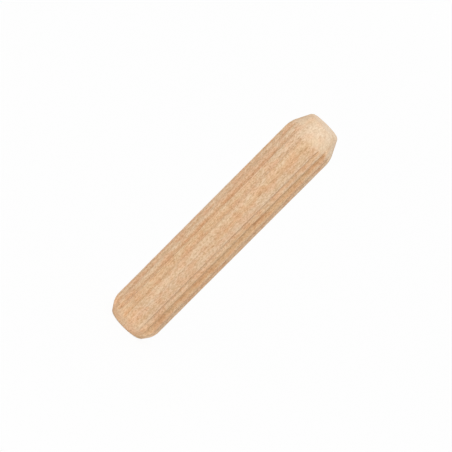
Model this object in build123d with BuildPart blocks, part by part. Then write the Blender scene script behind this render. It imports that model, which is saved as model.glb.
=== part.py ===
"""Fluted joinery dowel: one straight length of beech rod, all sizes in millimetres.

A dowel like this starts as a round rod that is drawn through a fluting die, which presses the
same ring of grooves into it from one end to the other. The rod is then cut to length, and each
cut end is turned to a taper so that it starts easily in a drilled hole. The model is made in
that order: the fluted section is extruded, then intersected with the turned outline, so each
flute runs out into the tapers as a pointed arch, where the taper comes down to its floor.

The dowel stands upright on its short-tapered foot. The origin is the centre of the foot face
and +Z runs along the axis to the long-tapered lead end.
"""

import os
from math import pi, radians, sin, tan

from build123d import *

# Driving dimensions: the rod
length = 40.0
crest_diameter = 7.92  # over the lands: a sliding fit in an 8 mm drilled hole

# Driving dimensions: the flutes, as the teeth of the die that presses them
flute_count = 18
flute_depth = 0.40  # from the crest circle down to the flute's floor
flute_angle = 60.0  # degrees between the two walls of one flute
flute_floor_radius = 0.12
land_edge_radius = 0.05

# Driving dimensions: the lead end, with a long taper
lead_taper_length = 3.05
lead_face_diameter = 4.90  # where the taper's line meets the face, outside the rounded rim
lead_shoulder_radius = 3.30
lead_rim_radius = 0.65

# Driving dimensions: the foot end, with a short and rounder taper
foot_taper_length = 1.75
foot_face_diameter = 5.65
foot_shoulder_radius = 2.20
foot_rim_radius = 0.60

# Between the tapers the turning tool passes just clear of the lands, and leaves the crests whole.
turning_clearance = 0.01

# What follows from them
crest_radius = crest_diameter / 2
turned_radius = crest_radius + turning_clearance
half_angle = radians(flute_angle / 2)
# With a sharp nose, a tooth of the die would reach this far below the crest circle.
tooth_height = flute_depth + flute_floor_radius * (1 / sin(half_angle) - 1)
# It stands as far above the circle as the flute is deep, so that it cuts right through the rim.
tooth_half_width = (tooth_height + flute_depth) * tan(half_angle)
mouth_width = 2 * tooth_height * tan(half_angle)
land_width = pi * crest_diameter / flute_count - mouth_width


def distance_from_axis(vertex):
    """How far a point of the section lies from the rod's axis."""
    return Vector(vertex.X, vertex.Y).length


with BuildPart() as dowel:
    # The section that the die leaves: a round bar with a ring of rounded V-shaped flutes.
    with BuildSketch() as fluted_section:
        Circle(crest_radius)
        with PolarLocations(crest_radius, flute_count):
            Polygon(
                (-tooth_height, 0),
                (flute_depth, tooth_half_width),
                (flute_depth, -tooth_half_width),
                align=None,
                mode=Mode.SUBTRACT,
            )
        flute_floors = fluted_section.vertices().group_by(distance_from_axis)[0]
        fillet(flute_floors, flute_floor_radius)
        land_edges = fluted_section.vertices().group_by(distance_from_axis)[-1]
        fillet(land_edges, land_edge_radius)
    extrude(amount=length)

    # The outline that turning leaves: both tapers, their shoulders and their rims.
    with BuildSketch(Plane.XZ):
        with BuildLine():
            FilletPolyline(
                (0, 0),
                (foot_face_diameter / 2, 0),
                (turned_radius, foot_taper_length),
                (turned_radius, length - lead_taper_length),
                (lead_face_diameter / 2, length),
                (0, length),
                radius=[foot_rim_radius, foot_shoulder_radius, lead_shoulder_radius, lead_rim_radius],
            )
            Line((0, length), (0, 0))
        make_face()
    revolve(axis=Axis.Z, mode=Mode.INTERSECT)

dowel.part.label = "dowel"

os.makedirs("parts", exist_ok=True)
export_step(dowel.part, "parts/dowel.step")

print(f"flute mouth {mouth_width:.3f} mm, land {land_width:.3f} mm")
print(f"volume {dowel.part.volume:.1f} mm3, valid {dowel.part.is_valid}")
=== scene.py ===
# %% [markdown]
# # A fluted beech dowel
#
# This scene dresses one joinery dowel: a short beech peg with pressed flutes and two turned
# ends. The CAD frame gives its true size and place. Here the peg gets the surface that a real
# one has, and it is made in the order of the workshop: a blank is turned, the flutes are
# pressed into it with a die, and the wood itself comes last, as a relief and a material.

# %% Load the frame
import math

import bpy
from mathutils import Matrix, Vector


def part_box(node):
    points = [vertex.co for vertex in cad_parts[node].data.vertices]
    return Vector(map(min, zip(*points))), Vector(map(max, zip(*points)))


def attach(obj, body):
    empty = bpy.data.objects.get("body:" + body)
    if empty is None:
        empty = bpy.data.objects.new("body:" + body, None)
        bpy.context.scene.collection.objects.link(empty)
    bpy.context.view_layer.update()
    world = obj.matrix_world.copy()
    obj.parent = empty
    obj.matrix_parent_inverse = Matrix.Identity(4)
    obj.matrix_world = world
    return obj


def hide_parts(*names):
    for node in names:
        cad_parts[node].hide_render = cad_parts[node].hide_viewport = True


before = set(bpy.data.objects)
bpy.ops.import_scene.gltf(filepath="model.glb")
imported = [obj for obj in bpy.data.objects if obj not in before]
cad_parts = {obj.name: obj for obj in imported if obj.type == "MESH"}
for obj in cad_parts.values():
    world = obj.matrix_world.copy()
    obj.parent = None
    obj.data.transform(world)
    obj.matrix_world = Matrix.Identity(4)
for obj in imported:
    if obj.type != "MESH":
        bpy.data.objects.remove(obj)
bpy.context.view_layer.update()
low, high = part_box("dowel")

MM = 0.001
same_place = 0.001 * MM  # two points nearer than this are one
length = high.z - low.z
centre = (low + high) / 2
crest_radius = (high.y - low.y) / 2

# %% [markdown]
# ## The turned blank
#
# A turned piece is an outline that is swept once round its axis. The outline could be a
# drawn curve, but here it is a chain of edges, because a chain can be rounded and cut into
# even steps with the same tools as any mesh. It starts as one vertex on the axis. Each corner
# is then pulled out of the last one by an extrude.

# %% Lay out the outline's corners
lead_taper = 3.05 * MM
foot_taper = 1.75 * MM
lead_face_radius = 2.45 * MM
foot_face_radius = 2.825 * MM

outline_corners = [
    Vector((0, low.z)),
    Vector((foot_face_radius, low.z)),
    Vector((crest_radius, low.z + foot_taper)),
    Vector((crest_radius, high.z - lead_taper)),
    Vector((lead_face_radius, high.z)),
    Vector((0, high.z)),
]


def deselect_all():
    """Leaves object mode with nothing selected, so that an operator acts on the new piece only."""
    if bpy.context.object and bpy.context.object.mode != "OBJECT":
        bpy.ops.object.mode_set(mode="OBJECT")
    bpy.ops.object.select_all(action="DESELECT")


def extruded_chain(name, corners):
    """A chain of edges in the XZ plane through the corners, each pulled out of the one before."""
    deselect_all()
    bpy.ops.mesh.primitive_plane_add(size=MM, location=(corners[0].x, 0, corners[0].y))
    chain = bpy.context.object
    chain.name = name
    bpy.ops.object.transform_apply(location=True)
    bpy.ops.object.mode_set(mode="EDIT")
    bpy.ops.mesh.select_all(action="SELECT")
    bpy.ops.mesh.merge(type="CENTER")
    for here, there in zip(corners, corners[1:]):
        step = there - here
        bpy.ops.mesh.extrude_region_move(TRANSFORM_OT_translate={"value": (step.x, 0, step.y)})
    bpy.ops.object.mode_set(mode="OBJECT")
    return chain


blank = extruded_chain("beech_dowel", outline_corners)
print(f"outline of {len(blank.data.vertices)} corners")

# %% [markdown]
# The cutter leaves no sharp corner behind, and the two shoulders are rounder than the two rims.
# A corner could be rounded by working out points on an arc. A vertex bevel on the chain does
# the same in one step. Its offset is the distance from the corner to the point where the arc
# starts, which is the arc's radius times the tangent of half the turn.

# %% Round the corners
foot_rim, foot_shoulder, lead_shoulder, lead_rim = 1, 2, 3, 4
corner_rounds = {
    foot_rim: 0.60 * MM,
    foot_shoulder: 2.20 * MM,
    lead_shoulder: 3.30 * MM,
    lead_rim: 0.65 * MM,
}
arc_steps = 10


def select_vertices(piece, wanted):
    """Selects in edit mode the vertices whose place passes the test, and says how many."""
    bpy.ops.object.mode_set(mode="EDIT")
    bpy.ops.mesh.select_mode(type="VERT")
    bpy.ops.mesh.select_all(action="DESELECT")
    bpy.ops.object.mode_set(mode="OBJECT")
    count = 0
    for vertex in piece.data.vertices:
        vertex.select = wanted(vertex.co)
        count += vertex.select
    bpy.ops.object.mode_set(mode="EDIT")
    return count


for index, radius in corner_rounds.items():
    before, corner, after = outline_corners[index - 1 : index + 2]
    turn = (corner - before).angle(after - corner)
    place = Vector((corner.x, 0, corner.y))
    found = select_vertices(blank, lambda co: (co - place).length < same_place)
    bpy.ops.mesh.bevel(affect="VERTICES", offset=radius * math.tan(turn / 2), segments=arc_steps)
    print(f"corner {index}: {found} vertex, turned by {math.degrees(turn):.0f} degrees")

# %% [markdown]
# The press and the relief further on can only move vertices that are there. So each straight
# stretch of the outline is cut into even steps first. Subdivide does that to the edges that are
# selected. The shank changes little along its length, so its steps may be longer than those of
# the tapers, where the flutes run out.

# %% Cut the straight stretches into even steps
fine_step = 0.12 * MM
shank_step = 0.24 * MM


def cut_edges(piece, step, wanted):
    """Subdivides each edge whose two ends pass the test into pieces of about one step."""
    bpy.ops.object.mode_set(mode="OBJECT")
    places = [vertex.co.copy() for vertex in piece.data.vertices]
    ends = [tuple(edge.vertices) for edge in piece.data.edges]
    chosen = [(places[a], places[b]) for a, b in ends if wanted(places[a], places[b])]
    for start, end in chosen:
        cuts = round((end - start).length / step) - 1
        if cuts < 1:
            continue
        select_vertices(
            piece, lambda co: min((co - start).length, (co - end).length) < same_place
        )
        bpy.ops.mesh.select_mode(type="EDGE")
        bpy.ops.mesh.subdivide(number_cuts=cuts)
        bpy.ops.object.mode_set(mode="OBJECT")


cut_edges(blank, shank_step, lambda start, end: abs(start.x - end.x) < same_place)
cut_edges(blank, fine_step, lambda start, end: abs(start.x - end.x) > same_place)
print(f"outline of {len(blank.data.vertices)} points")

# %% [markdown]
# A cutter that is fed along a spinning peg leaves a fine spiral of marks. At this size rings
# look the same. One point of the outline in every pitch is moved a hundredth of a millimetre
# towards the axis, before the outline is swept, so each becomes a ring.

# %% Leave the cutter's feed marks on the tapers
mark_depth = 0.012 * MM
mark_pitch = 0.36 * MM
land_margin = 0.02 * MM
rim_margin = 0.1 * MM

taper_count = select_vertices(
    blank,
    lambda co: MM < co.x < crest_radius - land_margin
    and low.z + rim_margin < co.z < high.z - rim_margin
    and co.z / mark_pitch % 1 < fine_step / mark_pitch,
)
bpy.ops.transform.translate(value=(-mark_depth, 0, 0))
bpy.ops.object.mode_set(mode="OBJECT")
print(f"{taper_count} rings marked on the tapers")

# %% [markdown]
# Spin sweeps the outline once round. It leaves a double seam where the sweep closes and a heap
# of vertices on the axis at each end, so the doubles are merged. The normals are worked out
# again after that, because a spin can leave a shape inside out.

# %% Spin the outline round the axis
flute_count = 18
columns_per_flute = 24

select_vertices(blank, lambda co: True)
bpy.ops.mesh.spin(
    steps=flute_count * columns_per_flute, angle=math.tau, center=(0, 0, 0), axis=(0, 0, 1)
)
bpy.ops.mesh.select_all(action="SELECT")
bpy.ops.mesh.remove_doubles(threshold=2 * same_place)
bpy.ops.mesh.normals_make_consistent(inside=False)
bpy.ops.object.mode_set(mode="OBJECT")
bpy.ops.object.shade_smooth()
print(f"blank: {len(blank.data.vertices)} vertices, {len(blank.data.polygons)} faces")

# %% [markdown]
# No saw cuts a peg quite square. The foot's face is turned by about half a degree on its left
# edge, so that its right edge stands a hair higher. Its vertices could be raised one by one, but
# a rotation keeps the face flat, and proportional editing carries the rounded rim along. The
# centre is given, because without a window the operator ignores the pivot setting.

# %% Saw the foot a shade off square
off_square = math.radians(0.6)
rim_reach = 1.2 * MM  # takes in the rounded rim and no more
left_edge = Vector((-foot_face_radius, 0, low.z))

face_count = select_vertices(blank, lambda co: co.z < low.z + same_place)
bpy.ops.transform.rotate(
    value=off_square,
    orient_axis="Y",
    center_override=left_edge,
    use_proportional_edit=True,
    proportional_edit_falloff="SMOOTH",
    proportional_size=rim_reach,
)
bpy.ops.object.mode_set(mode="OBJECT")
lowest = min(vertex.co.z for vertex in blank.data.vertices)
print(f"foot face of {face_count} vertices, {(lowest - low.z) / MM:.3f} mm above the floor")

# %% [markdown]
# ## The die
#
# The flutes could be cut with a boolean, but that leaves knife-sharp edges and long thin
# faces. A press works differently: it pushes the wood down wherever the die is lower. So the
# die is modelled as the form that it leaves, a fluted rod, and the blank is then laid onto
# that rod. Each flute is one vertex of a circle pulled towards the axis with proportional
# editing, which takes its neighbours along on a rounded slope.
#
# A real die's teeth aren't quite even, and a peg whose flutes are all alike looks like plastic.
# So each tooth says how far it sits from its even place, and how deep and wide it presses.

# %% Make the ring of teeth
flute_depth = 0.30 * MM
flute_half_width = 0.47 * MM
die_columns = 60
overhang = MM

# Degrees off the even place, share of the depth, share of the width
teeth = [
    (0.4, 1.00, 1.0), (-0.8, 1.25, 1.2), (0.6, 1.35, 1.2), (1.1, 1.05, 1.0), (-0.5, 1.25, 1.1),
    (0.2, 1.40, 1.2), (-1.0, 1.10, 1.0), (0.7, 1.20, 1.2), (-0.4, 1.35, 1.2), (0.9, 0.95, 1.0),
    (-0.6, 1.20, 1.3), (-5.4, 1.50, 1.3), (-3.2, 1.30, 0.9), (-2.0, 0.90, 0.8), (1.6, 0.35, 0.7),
    (6.2, 0.85, 0.9), (4.8, 1.60, 1.5), (6.4, 1.50, 1.3),
]

deselect_all()
bpy.ops.mesh.primitive_circle_add(
    vertices=flute_count * die_columns, radius=crest_radius, location=(0, 0, low.z - overhang)
)
die = bpy.context.object
die.name = "die"
bpy.ops.object.transform_apply(location=True)


def pull_in(depth, half_width):
    """Moves the selected vertices towards the axis, and their neighbours with them."""
    scale = 1 - depth / crest_radius
    bpy.ops.transform.resize(
        value=(scale, scale, 1),
        center_override=(0, 0, 0),
        use_proportional_edit=True,
        proportional_edit_falloff="SMOOTH",
        proportional_size=half_width,
    )


half_column = math.pi * crest_radius / (flute_count * die_columns)
for tooth, (wander, depth_share, width_share) in enumerate(teeth):
    angle = math.radians(tooth * 360 / flute_count + wander)
    crest = Vector((math.cos(angle), math.sin(angle))) * crest_radius
    select_vertices(die, lambda co: (co.to_2d() - crest).length < half_column)
    pull_in(depth_share * flute_depth, width_share * flute_half_width)
bpy.ops.object.mode_set(mode="OBJECT")
radii = [vertex.co.to_2d().length for vertex in die.data.vertices]
print(f"die: radius from {min(radii) / MM:.2f} to {max(radii) / MM:.2f} mm")

# %% [markdown]
# The ring is drawn out along the axis in one extrude, to a rod that is a little longer than
# the peg at both ends. Long thin faces do no harm here, because the rod is only a target.

# %% Draw the ring out into a rod
bpy.ops.object.mode_set(mode="EDIT")
bpy.ops.mesh.select_all(action="SELECT")
bpy.ops.mesh.extrude_region_move(
    TRANSFORM_OT_translate={"value": (0, 0, length + 2 * overhang)}
)
bpy.ops.mesh.select_all(action="SELECT")
bpy.ops.mesh.normals_make_consistent(inside=False)
bpy.ops.object.mode_set(mode="OBJECT")
print(f"die: {len(die.data.polygons)} faces")

# %% [markdown]
# ## Pressing the flutes
#
# A Shrinkwrap modifier in Project mode sends each vertex of the blank inwards along its normal
# until it meets the die's rod. On the lands the two surfaces are the same, so nothing moves.
# In the flutes the vertex goes down to the floor. On the tapers the rod lies outside the
# blank, so the flutes run out in pointed arches, as they do on the real peg. The limit keeps
# a vertex that finds nothing below it from flying to the far side.

# %% Press the flutes
turned_places = [vertex.co.copy() for vertex in blank.data.vertices]

press = blank.modifiers.new("press", "SHRINKWRAP")
press.target = die
press.wrap_method = "PROJECT"
press.use_negative_direction = True
press.use_positive_direction = False
press.project_limit = 3 * flute_depth
deselect_all()
bpy.context.view_layer.objects.active = blank
blank.select_set(True)
bpy.ops.object.modifier_apply(modifier=press.name)
bpy.data.objects.remove(die)

pressed_depths = [
    (vertex.co - turned).length for vertex, turned in zip(blank.data.vertices, turned_places)
]
moved = sum(depth > same_place for depth in pressed_depths)
print(f"pressed {moved} vertices, the deepest by {max(pressed_depths) / MM:.2f} mm")

# %% [markdown]
# The wood looks different where it was pressed, where it was turned, and where its fibres end.
# A material can't tell these places apart by itself, but they are known here, so they are
# stored on the mesh as one number for each vertex. Wood counts as turned where the cutter took
# it down well below the crest. The foot's short taper is cut less pale than the lead's.

# %% Store what the material has to know
full_cut = 0.25 * MM
foot_cut_share = 0.35


def store(piece, name, values):
    """Keeps one number for each vertex, which a material can read by its name."""
    attribute = piece.data.attributes.new(name, "FLOAT", "POINT")
    attribute.data.foreach_set("value", values)
    print(f"{name}: from {min(values):.2f} to {max(values):.2f}")


def turned_share(place, depth):
    """How much of the surface at this place was laid bare by the cutter, from 0 to 1."""
    cut_away = crest_radius - place.to_2d().length - depth
    end_share = 1.0 if place.z > centre.z else foot_cut_share
    return min(1, max(0, cut_away) / full_cut) * end_share


store(blank, "pressed", [depth / flute_depth for depth in pressed_depths])
store(blank, "turned", [turned_share(*pair) for pair in zip(turned_places, pressed_depths)])
store(blank, "end_grain", [vertex.normal.z ** 2 for vertex in blank.data.vertices])
store(blank, "quarter_grain", [vertex.normal.x ** 2 for vertex in blank.data.vertices])

# %% [markdown]
# Wood springs back a little when the die lets go, so no edge of a flute stays sharp. A bevel
# would have to find those edges first. A Smooth modifier rounds every crease by the same small
# amount, and leaves what is already even as it is.

# %% Ease the edges
ease = blank.modifiers.new("ease", "SMOOTH")
ease.factor = 0.5
ease.iterations = 4
bpy.ops.object.modifier_apply(modifier=ease.name)
eased_radius = max(vertex.co.to_2d().length for vertex in blank.data.vertices)
print(f"eased to {2 * eased_radius / MM:.3f} mm over the lands")

# %% [markdown]
# ## The grain that a finger feels
#
# Sawn and pressed wood is never quite smooth. Its vessels are open on the surface as fine
# furrows along the peg, and across the ends as pits. A bump map would only pretend that, and
# the exported mesh would lose it, so the furrows are moved in the mesh by a Displace modifier.
# Its cloud texture is read through an empty that is stretched along the axis, which draws
# every cloud out into a furrow. The rest level, at which nothing moves, is high, so the wood is
# nearly always lowered, and the peg doesn't outgrow its size.

# %% Furrow the surface
rest_level = 0.80


def furrow(piece, name, width, stretch, depth, detail):
    """Lowers the surface in furrows of a width, drawn out along the axis by the stretch."""
    deselect_all()
    bpy.ops.object.empty_add(type="PLAIN_AXES", location=centre)
    guide = bpy.context.object
    guide.scale = (width, width, width * stretch)
    clouds = bpy.data.textures.new(name, "CLOUDS")
    clouds.noise_scale = 1.0
    clouds.noise_depth = detail
    deselect_all()
    bpy.context.view_layer.objects.active = piece
    piece.select_set(True)
    bpy.context.view_layer.update()
    displace = piece.modifiers.new(name, "DISPLACE")
    displace.texture = clouds
    displace.texture_coords = "OBJECT"
    displace.texture_coords_object = guide
    displace.mid_level = rest_level
    displace.strength = depth
    bpy.ops.object.modifier_apply(modifier=displace.name)
    bpy.data.objects.remove(guide)
    bpy.data.textures.remove(clouds)


furrow(blank, "vessels", width=0.16 * MM, stretch=6.0, depth=0.028 * MM, detail=2)
furrow(blank, "waviness", width=1.4 * MM, stretch=5.0, depth=0.020 * MM, detail=1)

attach(blank, "root")
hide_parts("dowel")
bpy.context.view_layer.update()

# %% [markdown]
# ## Beech
#
# Beech is pale and fine, with three things to see. Its fibres run along the peg as hair-thin
# lines. Its growth rings are curved layers round the heart of the tree, which lay well to one
# side of the peg, so they show as long soft streaks along it and as arcs across its ends. Its
# rays are thin upright sheets that run towards the heart, and where they come to the surface
# edge-on they are the short dark flecks that tell beech from any other wood.
#
# A picture of wood could be wrapped round the peg, but it would stretch on the tapers and
# repeat. Here all three are solid patterns in space, read from the object's own coordinates,
# so the tapers cut through them and show their ends without any further work.

# %% Start the material


def make_material(name):
    """A node material, its node tree and its shader."""
    material = bpy.data.materials.new(name)
    material.use_nodes = True
    return material, material.node_tree, material.node_tree.nodes["Principled BSDF"]


def feed(socket, value):
    """Gives a socket its value, by a link where the value comes out of another node."""
    if isinstance(value, bpy.types.NodeSocket):
        tree.links.new(value, socket)
    else:
        socket.default_value = value


def add_node(kind, inputs, **settings):
    """Adds a node to the tree that is being made. Its inputs go by name or by number."""
    node = tree.nodes.new(kind)
    for key, value in settings.items():
        setattr(node, key, value)
    for key, value in inputs.items():
        feed(node.inputs[key], value)
    return node


beech, tree, shader = make_material("raw_beech")
per_millimetre = 1 / MM
object_place = add_node("ShaderNodeTexCoord", {}).outputs["Object"]
millimetres = add_node(
    "ShaderNodeMapping", {"Vector": object_place, "Scale": (per_millimetre,) * 3}
).outputs["Vector"]
print(f"material {beech.name}, read in millimetres")

# %% [markdown]
# Most patterns need the same few steps: a noise that is drawn out along one axis, a range of
# its values that is picked out, and a tint laid on where the range is high. Each step is one
# node, so each gets a small helper, and the pattern can then be written as a line.

# %% Helpers for patterns


def stretched(scale, offset=(0, 0, 0)):
    """Millimetres scaled by axis: a small number draws the pattern out along that axis."""
    inputs = {"Vector": millimetres, "Scale": scale, "Location": offset}
    return add_node("ShaderNodeMapping", inputs).outputs["Vector"]


def noise(vector, detail, roughness=0.5):
    """Soft noise about 0.5. Detail adds finer layers, and roughness makes them stronger."""
    inputs = {"Vector": vector, "Scale": 1.0, "Detail": detail, "Roughness": roughness}
    return add_node("ShaderNodeTexNoise", inputs).outputs["Fac"]


def ramp(value, low_in, high_in, low_out=0.0, high_out=1.0):
    """The value's range from low_in to high_in, drawn out smoothly over low_out to high_out."""
    inputs = {
        "Value": value,
        "From Min": low_in,
        "From Max": high_in,
        "To Min": low_out,
        "To Max": high_out,
    }
    node = add_node("ShaderNodeMapRange", inputs, interpolation_type="SMOOTHSTEP")
    return node.outputs["Result"]


def flecks(scale, offset, full_within, gone_beyond):
    """Spots round scattered points, drawn out by the scale: 1 at the middle and 0 outside."""
    inputs = {"Vector": stretched(scale, offset), "Scale": 1.0, "Randomness": 1.0}
    cells = add_node("ShaderNodeTexVoronoi", inputs)
    return ramp(cells.outputs["Distance"], full_within, gone_beyond, 1.0, 0.0)


def maths(operation, first, second=0.0):
    """The sum, product or the like of two values."""
    return add_node("ShaderNodeMath", {0: first, 1: second}, operation=operation).outputs["Value"]


def vector_maths(operation, first, second=(0, 0, 0)):
    """The node that works on whole vectors. Its result is the output Vector or Value."""
    return add_node("ShaderNodeVectorMath", {0: first, 1: second}, operation=operation).outputs


def stored(name):
    """A number that was stored on the mesh."""
    return add_node("ShaderNodeAttribute", {}, attribute_name=name).outputs["Fac"]


# %% [markdown]
# A growth ring is a shell round the heart of the tree, the pith. The distance from the pith,
# divided by the width of a ring, grows by one from ring to ring, and its fraction says how far
# into the year's growth a point lies. The wood darkens slowly towards the end of the year and
# turns pale again at once. A noise bends the shells, because no tree grows evenly.

# %% Growth rings
pith = (5.0, 16.0, 0.0)  # millimetres off the axis
ring_width = 1.25  # millimetres
lean = 0.02  # how much the height counts, because no peg follows its trunk quite

from_pith = vector_maths("SUBTRACT", millimetres, pith)["Vector"]
across_trunk = vector_maths("MULTIPLY", from_pith, (1, 1, lean))["Vector"]
trunk_radius = vector_maths("LENGTH", across_trunk)["Value"]
bend = maths("MULTIPLY", noise(stretched((0.35, 0.35, 0.02), (6, 29, 7)), 2.0), 1.6)
year = maths("DIVIDE", maths("ADD", trunk_radius, bend), ring_width)
season = maths("FRACT", year)
late_wood = maths("MULTIPLY", ramp(season, 0.45, 0.92), ramp(season, 1.0, 0.90))
print(f"rings of {ring_width} mm, {Vector(pith).length:.0f} mm from the pith")

# %% [markdown]
# The finer patterns differ in how far each is drawn out along the axis. Fibres are long and
# thin, mottle is the short ripple that raw wood has all over, patches are broad soft streaks,
# and blush is a slow drift towards pink. The rays are thin across X and long along Y, because
# Y is nearly the way to the pith. Pores stand closer where the mottle is strong.

# %% Fibres, rays and pores
fibres = noise(stretched((9.0, 9.0, 0.50)), 3.0, 0.6)
mottle = noise(stretched((5.0, 5.0, 2.8), (3, 5, 7)), 3.0, 0.7)
patches = noise(stretched((0.55, 0.55, 0.03), (32, 23, 10)), 2.0)
blush = noise(stretched((0.8, 0.8, 0.5), (5, 2, 8)), 1.0)
rays = flecks((3.2, 0.45, 0.55), (0, 0, 0), 0.08, 0.26)
pores = maths(
    "MULTIPLY", flecks((7.5, 7.5, 1.8), (2, 8, 3), 0.10, 0.34), ramp(mottle, 0.35, 0.60)
)
print(f"{len(tree.nodes)} nodes for the patterns")

# %% [markdown]
# The colour starts as the palest wood, and every pattern multiplies it by a tint, as a glaze
# does. That keeps the hue of the wood in the dark places, which mixing in a brown would grey.
# On the two sides that face along X the rays lie flat in the surface and are broad, so there
# they are fainter. The floors of the flutes are tinted last: the press packs the wood, and
# packed wood is darker. The same tint also paints the shade that falls into the flutes.

# %% Colour of the pressed shank


def linear(red, green, blue):
    """The linear colour of a screen colour given from 0 to 255."""
    parts = []
    for part in (red, green, blue):
        part /= 255
        parts.append(part / 12.92 if part <= 0.04045 else ((part + 0.055) / 1.055) ** 2.4)
    return (*parts, 1.0)


def blended(colour, strength, other, blend="MULTIPLY"):
    """The colour with another laid over it, as strongly as the strength says."""
    inputs = {0: strength, 6: colour, 7: other}
    return add_node("ShaderNodeMix", inputs, data_type="RGBA", blend_type=blend).outputs[2]


pressed = stored("pressed")
ray_strength = ramp(stored("quarter_grain"), 0.1, 0.9, 0.5, 0.12)
tints = [
    (maths("MULTIPLY", late_wood, 0.30), linear(240, 229, 216)),
    (ramp(fibres, 0.35, 0.70), linear(246, 240, 233)),
    (ramp(mottle, 0.38, 0.64), linear(232, 223, 211)),
    (ramp(patches, 0.40, 0.70), linear(252, 244, 230)),
    (ramp(blush, 0.40, 0.65), linear(255, 244, 238)),
    (maths("MULTIPLY", rays, ray_strength), linear(205, 180, 156)),
    (maths("MULTIPLY", pores, 0.70), linear(208, 190, 170)),
    # Partly painted shade: the flute floors are darkened where shade falls, besides the packed
    # wood's own darker tone
    (ramp(pressed, 0.2, 1.0, 0.0, 0.45), linear(238, 229, 218)),
]
colour = linear(231, 205, 176)
for strength, tint in tints:
    colour = blended(colour, strength, tint)
print(f"{len(tints)} tints on the shank")

# %% [markdown]
# The ends differ from the shank in three ways. Across the end face the rings show as darker
# arcs, broken up by the mottle. Round the foot the wood is painted a shade brighter: painted
# light for the downward-facing foot, which gets little light from the lamps. And the tapers
# are freshly cut: the torn fibres scatter more light there. Screen blending does that part,
# because it can only lighten. The cut is also painted paler towards +X and on the end faces:
# painted light and shade.

# %% Colour of the ends
ends = stored("end_grain")
end_rings = maths("MULTIPLY", late_wood, ramp(mottle, 0.30, 0.60, 0.3, 1.0))
colour = blended(colour, maths("MULTIPLY", end_rings, ends), linear(234, 222, 208))

apart = add_node("ShaderNodeSeparateXYZ", {"Vector": millimetres}).outputs
# Painted light: the foot is brightened for the little light that reaches it from the lamps
painted_foot_light = ramp(apart["Z"], 4.0, 1.5)
colour = blended(colour, painted_foot_light, (1.10, 1.08, 1.05, 1))

turned = stored("turned")
# Partly painted light: paler towards +X and on the end faces, painted shade towards -X; the rest
# is the fresh cut's own paleness
cut_paleness_and_painted_light = maths("ADD", ramp(apart["X"], -3.5, 2.5, 0.22, 0.70), maths("MULTIPLY", ends, 0.6))
fresh_cut_and_painted_light = maths("MULTIPLY", turned, cut_paleness_and_painted_light)
colour = blended(colour, fresh_cut_and_painted_light, (0.37, 0.275, 0.20, 1), "SCREEN")
feed(shader.inputs["Base Color"], colour)
print(f"{len(tree.nodes)} nodes with the colours")

# %% [markdown]
# Raw wood is nearly matt. The die burnishes what it presses, so the floors of the flutes are
# smoother, and the cutter leaves the tapers rougher. The hair-fine relief of fibres, rays and
# pores is too small for the mesh, so it goes into a bump. The furrows that a finger feels are
# in the mesh already.

# %% Roughness and fine relief
burnish = ramp(pressed, 0.0, 1.0, 0.0, -0.12)
roughness = maths("ADD", maths("ADD", burnish, 0.58), maths("MULTIPLY", fibres, 0.10))
roughness = maths("ADD", roughness, maths("MULTIPLY", turned, 0.08))
feed(shader.inputs["Roughness"], roughness)
shader.inputs["Specular IOR Level"].default_value = 0.25

height = maths("SUBTRACT", maths("MULTIPLY", fibres, 0.03), maths("MULTIPLY", rays, 0.02))
height = maths("SUBTRACT", height, maths("MULTIPLY", pores, 0.02))
bump = add_node("ShaderNodeBump", {"Height": height, "Distance": MM, "Strength": 0.3})
feed(shader.inputs["Normal"], bump.outputs["Normal"])

blank.data.materials.clear()
blank.data.materials.append(beech)
print(f"{beech.name}: {len(tree.nodes)} nodes")

# %% [markdown]
# ## The studio
#
# A pale peg looks best on white paper, in light from all round. Paper that is lit until it
# is white would need so much light that the peg washes out. So the paper keeps its plain colour
# in the light that it throws on the peg, and glows only for the camera. A small share of its
# shading stays, and with it the peg's shadow. The world is made in the same way: it lights
# plainly, and is white where the camera or a reflection sees it.

# %% Floor
floor_size = 3.0
glow_share = 0.94

deselect_all()
bpy.ops.mesh.primitive_plane_add(size=floor_size, location=(0, 0, low.z))
floor = bpy.context.object
floor.name = "floor"

paper, tree, shader = make_material("white_paper")
shader.inputs["Base Color"].default_value = (0.88, 0.88, 0.88, 1)
shader.inputs["Roughness"].default_value = 0.9
glow = add_node("ShaderNodeEmission", {"Color": (1, 1, 1, 1), "Strength": 1.0})
seen = add_node("ShaderNodeLightPath", {}).outputs
camera_glow = maths("MULTIPLY", seen["Is Camera Ray"], glow_share)
look = add_node(
    "ShaderNodeMixShader",
    {0: camera_glow, 1: shader.outputs["BSDF"], 2: glow.outputs["Emission"]},
)
feed(tree.nodes["Material Output"].inputs["Surface"], look.outputs["Shader"])
floor.data.materials.append(paper)
print(f"floor of {floor_size:.0f} m, level with the peg's foot")

# %% World
world_light = 0.60

world = bpy.data.worlds.new("white_studio")
bpy.context.scene.world = world
world.use_nodes = True
tree = world.node_tree
seen = add_node("ShaderNodeLightPath", {}).outputs
shown = maths("MAXIMUM", seen["Is Camera Ray"], seen["Is Glossy Ray"])
background = tree.nodes["Background"]
background.inputs["Color"].default_value = (1, 1, 1, 1)
feed(background.inputs["Strength"], ramp(shown, 0.0, 1.0, world_light, 1.0))
print(f"world at {world_light} as light, and white where it is seen")

# %% [markdown]
# Three large soft lamps stand round the peg. The key stands above the camera, a little to its
# left, so that every flute has a lit wall and a shaded one. The top lamp lifts the end face,
# which the key only grazes, and the back lamp keeps the far side from going dull. Directions
# are named after the camera's view, so that they read as in a studio plan.

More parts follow.
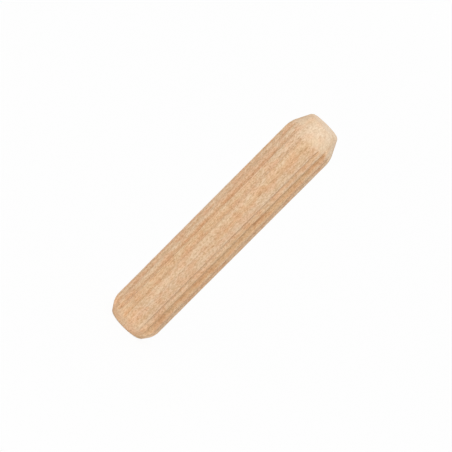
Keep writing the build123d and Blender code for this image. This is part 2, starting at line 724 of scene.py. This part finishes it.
# %% Lamps
view_angle = math.radians(-84.2)
to_camera = Vector((math.cos(view_angle), math.sin(view_angle), 0))
to_right = Vector((-math.sin(view_angle), math.cos(view_angle), 0))
up = Vector((0, 0, 1))
lamp_distance = 1.2
lamp_width = 0.84


def soft_lamp(name, direction, power):
    """A round lamp that stands in a direction from the peg and faces it."""
    deselect_all()
    place = centre + direction.normalized() * lamp_distance
    bpy.ops.object.light_add(type="AREA", location=place)
    lamp = bpy.context.object
    lamp.name = name
    lamp.rotation_euler = (centre - place).to_track_quat("-Z", "Y").to_euler()
    lamp.data.shape = "DISK"
    lamp.data.size = lamp_width
    lamp.data.energy = power
    print(f"lamp {name}: {power} W, {lamp_distance} m away")


soft_lamp("key", to_camera * 0.9 - to_right * 0.12 + up * 0.42, 5.8)
soft_lamp("top", up + to_camera * 0.2, 1.8)
soft_lamp("back", up * 0.45 - to_camera * 0.9, 2.0)

# %% [markdown]
# The camera looks at the peg from a long way off through a long lens, as a product camera does,
# so that both ends of the peg are drawn at nearly the same scale. The peg stands upright in the
# CAD frame and is never turned, so the camera is rolled instead, and in the picture the peg
# lies on the slant. The lens follows from the distance and from the share of the picture's
# width that the peg's length would fill.

# %% Camera
tilt = math.radians(10)
roll = math.radians(44.96)
lengths_away = 11.6
share_of_width = 0.6334
off_middle = to_right * 0.077 * MM + up * 0.093 * MM

aim = centre + off_middle
back = to_camera * math.cos(tilt) + up * math.sin(tilt)
facing = (-back).to_track_quat("-Z", "Y").to_matrix() @ Matrix.Rotation(roll, 3, "Z")
camera_data = bpy.data.cameras.new("camera")
camera_data.sensor_width = 36
camera_data.lens = camera_data.sensor_width * lengths_away * share_of_width
camera_data.clip_start = 0.01
camera = bpy.data.objects.new("camera", camera_data)
camera.location = aim + back * lengths_away * length
camera.rotation_euler = facing.to_euler()
bpy.context.scene.collection.objects.link(camera)
bpy.context.scene.camera = camera
print(f"camera {lengths_away * length:.3f} m away, with a lens of {camera_data.lens:.0f} mm")

# %% [markdown]
# The Standard view shows each colour about as it is written.

# %% Finish
bpy.context.scene.view_settings.view_transform = "Standard"
